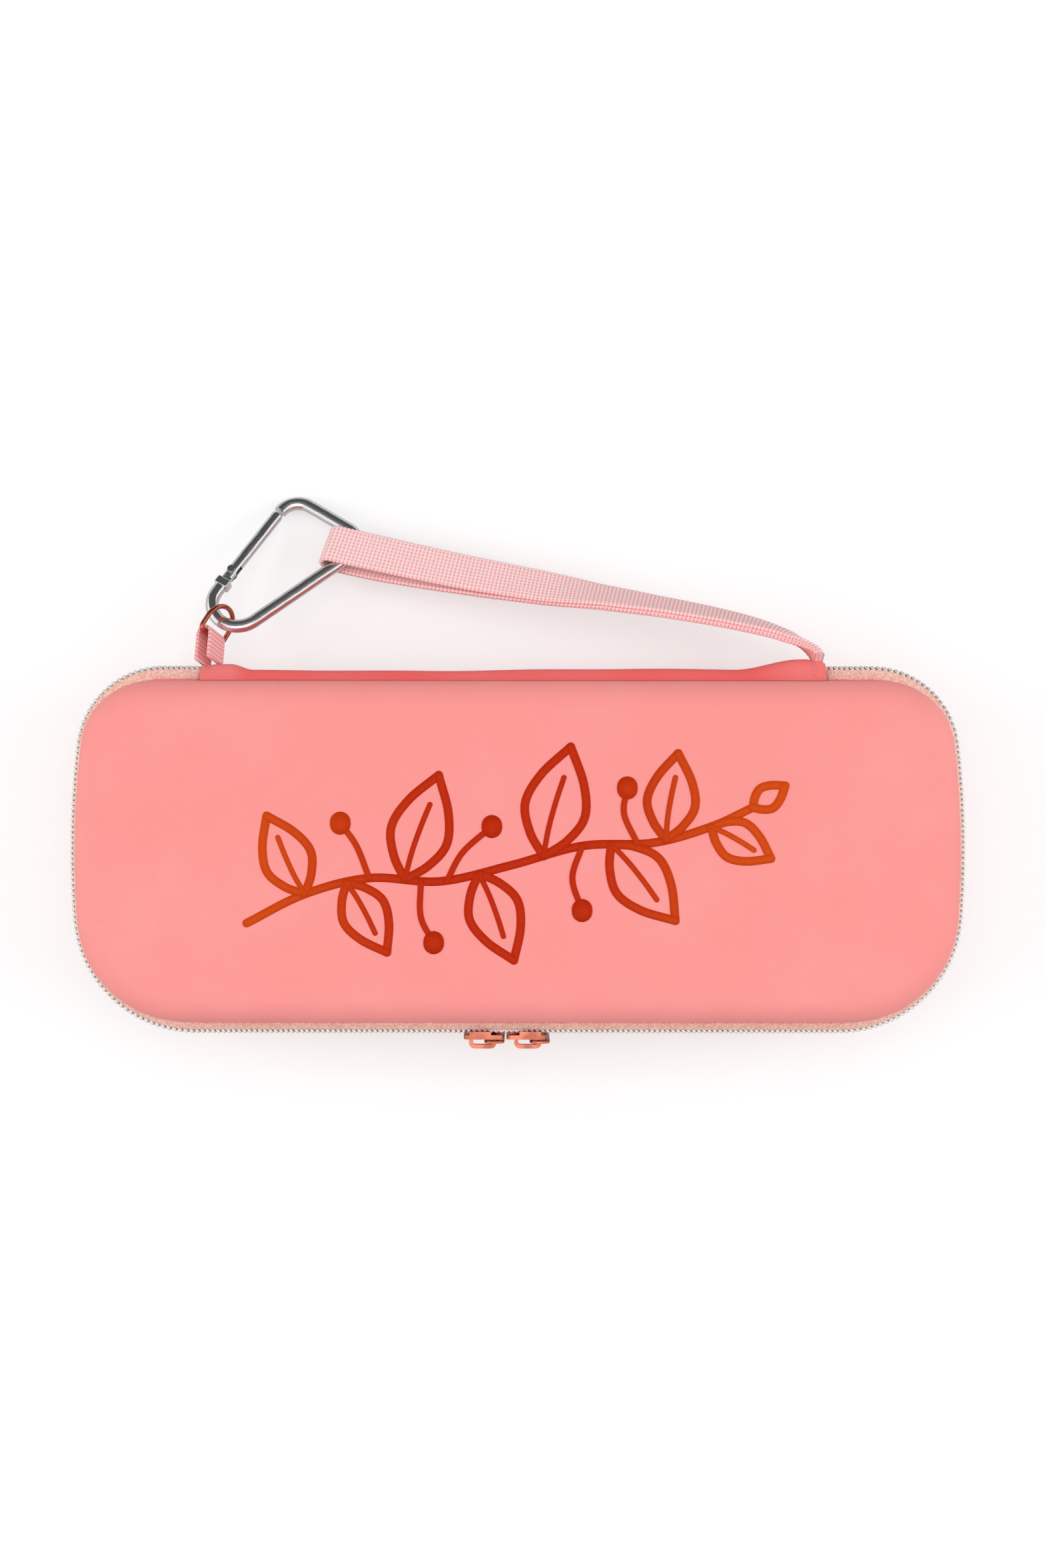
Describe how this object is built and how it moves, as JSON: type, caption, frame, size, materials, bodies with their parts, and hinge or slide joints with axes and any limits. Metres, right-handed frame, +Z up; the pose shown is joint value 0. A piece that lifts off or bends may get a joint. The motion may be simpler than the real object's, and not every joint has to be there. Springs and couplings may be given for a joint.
{
  "type": "stethoscope hard case",
  "caption": "Long moulded hard case with a rounded lid on a fabric hinge, a zip round the other sides with paired sliders, and a webbing wrist strap closed by a small carabiner.",
  "frame": {"origin": "middle of the base's flat underside, the face that the case lies on", "axes": "+X along the long side, towards the strap's sewn end; +Y towards the hinge, so the zip sliders are at -Y; +Z up through the lid"},
  "size_m": [0.29, 0.1825, 0.056],
  "materials": {
    "shell": "pink satin coated fabric moulded over foam",
    "lining": "short pile lining",
    "binding": "woven edge tape",
    "zip_tape": "fine diagonal weave",
    "zip_coil": "metallised silver coil",
    "elastic": "ribbed elastic",
    "net": "fine open net",
    "hinge": "pink satin coated fabric strip",
    "hinge_inside": "short pile lining",
    "copper_metal": "polished rose gold plating",
    "silver_metal": "polished silver",
    "steel": "plain",
    "webbing": "fine ribbed pink webbing"
  },
  "bodies": {
    "base": {"base_shell": "shell", "base_lining": "lining", "base_binding": "binding", "base_zip_tape": "zip_tape", "base_zip_coil": "zip_coil", "retaining_band": "elastic", "hinge_cover": "hinge", "hinge_lining": "hinge_inside"},
    "lid": {"lid_shell": "shell", "lid_lining": "lining", "lid_binding": "binding", "lid_zip_tape": "zip_tape", "lid_zip_coil": "zip_coil", "mesh_pocket": "net", "pocket_edge": "elastic"},
    "zip_slider_left": {"slider_left": "copper_metal"},
    "zip_pull_left": {"pull_left": "copper_metal"},
    "zip_slider_right": {"slider_right": "copper_metal"},
    "zip_pull_right": {"pull_right": "copper_metal"},
    "handle": {"strap_handle": "webbing", "ring_tab": "webbing", "carabiner_body": "silver_metal", "gate_rivet": "steel"},
    "ring": {"d_ring": "copper_metal"},
    "gate": {"carabiner_gate": "silver_metal", "gate_spring": "steel"}
  },
  "joints": [
    {"name": "lid_hinge", "type": "hinge", "parent": "base", "child": "lid", "pos_m": [0, 0.0623, 0.028], "axis": [-1, 0, 0], "range_deg": [0, 180], "deforming": ["hinge_cover", "hinge_lining", "base_zip_coil", "lid_zip_coil"]},
    {"name": "handle_swing", "type": "hinge", "parent": "base", "child": "handle", "pos_m": [0, 0.0623, 0.028], "axis": [-1, 0, 0], "range_deg": [0, 65]},
    {"name": "ring_swing", "type": "hinge", "parent": "handle", "child": "ring", "pos_m": [-0.1003, 0.06937, 0.0247], "axis": [-0.4226, 0.383, 0.8214], "range_deg": [-6, 14]},
    {"name": "gate_pivot", "type": "hinge", "parent": "handle", "child": "gate", "pos_m": [-0.09491, 0.09131, 0.01447], "axis": [0, -0.4226, -0.9063], "range_deg": [0, 28], "stiffness_Nm_per_rad": 0.05, "springref_deg": -22.92},
    {"name": "slider_left_slide", "type": "slide", "parent": "base", "child": "zip_slider_left", "axis": [-1, 0, 0], "range_m": [0, 0.085]},
    {"name": "slider_right_slide", "type": "slide", "parent": "base", "child": "zip_slider_right", "axis": [1, 0, 0], "range_m": [0, 0.085]},
    {"name": "pull_left_swing", "type": "hinge", "parent": "zip_slider_left", "child": "zip_pull_left", "pos_m": [-0.00755, -0.062, 0.028], "axis": [0, 1, 0], "range_deg": [-10, 45]},
    {"name": "pull_right_swing", "type": "hinge", "parent": "zip_slider_right", "child": "zip_pull_right", "pos_m": [0.00715, -0.062, 0.028], "axis": [0, 1, 0], "range_deg": [-110, 10]}
  ],
  "couplings": [
    {"joint": "handle_swing", "follows": "lid_hinge", "ratio": 0.36}
  ]
}
